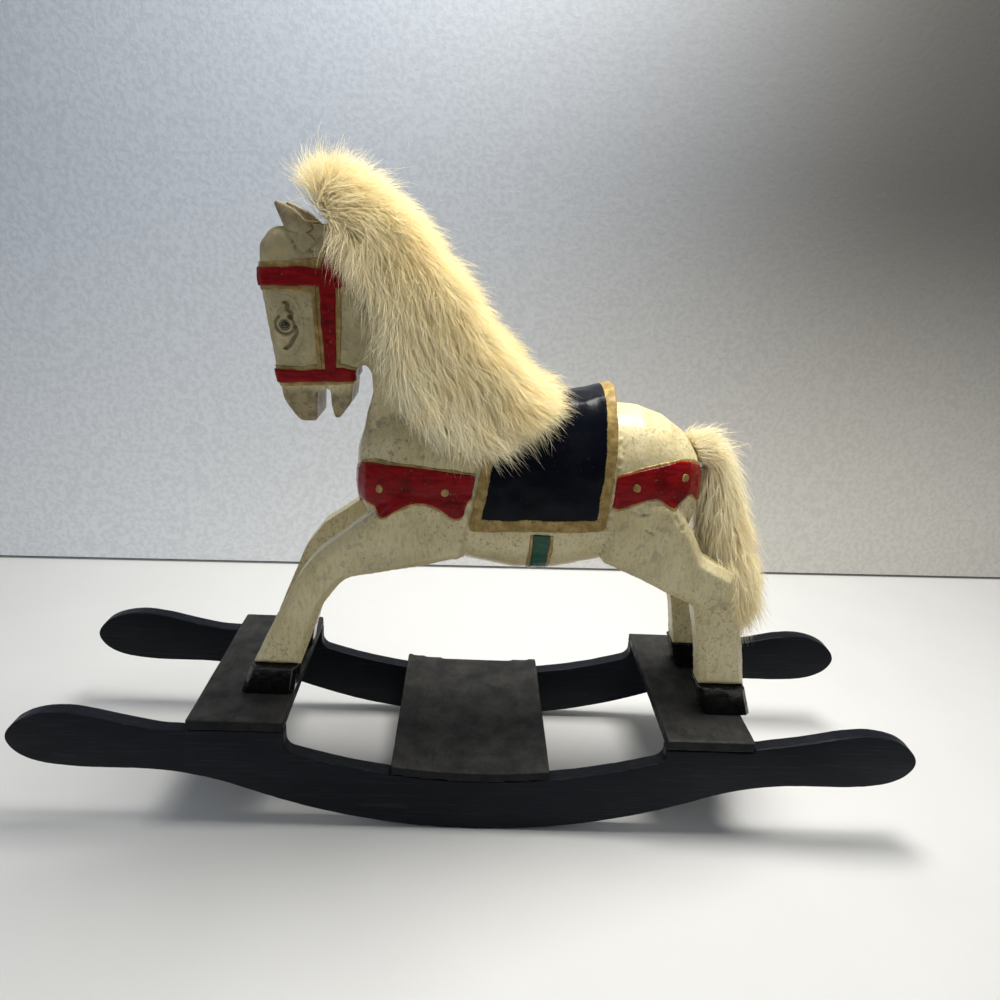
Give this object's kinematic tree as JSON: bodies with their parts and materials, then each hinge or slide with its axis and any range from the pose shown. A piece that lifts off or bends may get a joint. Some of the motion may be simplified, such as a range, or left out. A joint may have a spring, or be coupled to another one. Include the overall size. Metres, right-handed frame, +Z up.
{
  "type": "rocking horse",
  "caption": "Carved and painted wooden rocking horse with fur mane and tail, standing on two bow rockers joined by cross slats.",
  "frame": {"origin": "centre of the bounding box's bottom: on the floor, midway between the rocker tips and between the rockers", "axes": "+X from nose to tail along the rockers, +Y to the horse's right side, +Z up"},
  "size_m": [0.38, 0.088, 0.2679],
  "materials": {
    "cream_paint": "gloss",
    "rocker_paint": "satin",
    "slat_paint": "matte",
    "hoof_paint": "gloss",
    "crimson_paint": "gloss",
    "green_paint": "gloss",
    "saddle_paint": "gloss",
    "eye_black": "gloss",
    "fur": "matte",
    "steel": "satin",
    "dowel_wood": "matte"
  },
  "bodies": {
    "root": {"rocker_left": "rocker_paint", "rocker_right": "rocker_paint", "front_slat": "slat_paint", "middle_slat": "slat_paint", "rear_slat": "slat_paint", "slat_brads": "steel", "hoof_screws": "steel", "torso_core": "cream_paint", "neck_and_head": "cream_paint", "front_leg_left": "cream_paint", "front_leg_right": "cream_paint", "rear_leg_left": "cream_paint", "rear_leg_right": "cream_paint", "hoof_front_left": "hoof_paint", "hoof_front_right": "hoof_paint", "hoof_rear_left": "hoof_paint", "hoof_rear_right": "hoof_paint", "ear_left": "cream_paint", "ear_right": "cream_paint", "eye_left": "eye_black", "eye_right": "eye_black", "bridle_browband": "crimson_paint", "bridle_noseband": "crimson_paint", "bridle_crown_strap": "crimson_paint", "bridle_cheek_left": "crimson_paint", "bridle_cheek_right": "crimson_paint", "breast_strap": "crimson_paint", "breeching_strap": "crimson_paint", "girth_strap": "green_paint", "saddle": "saddle_paint", "mane": "fur", "tail": "fur", "tail_peg": "dowel_wood", "neck_dowels": "dowel_wood", "leg_dowels": "dowel_wood"}
  },
  "joints": []
}
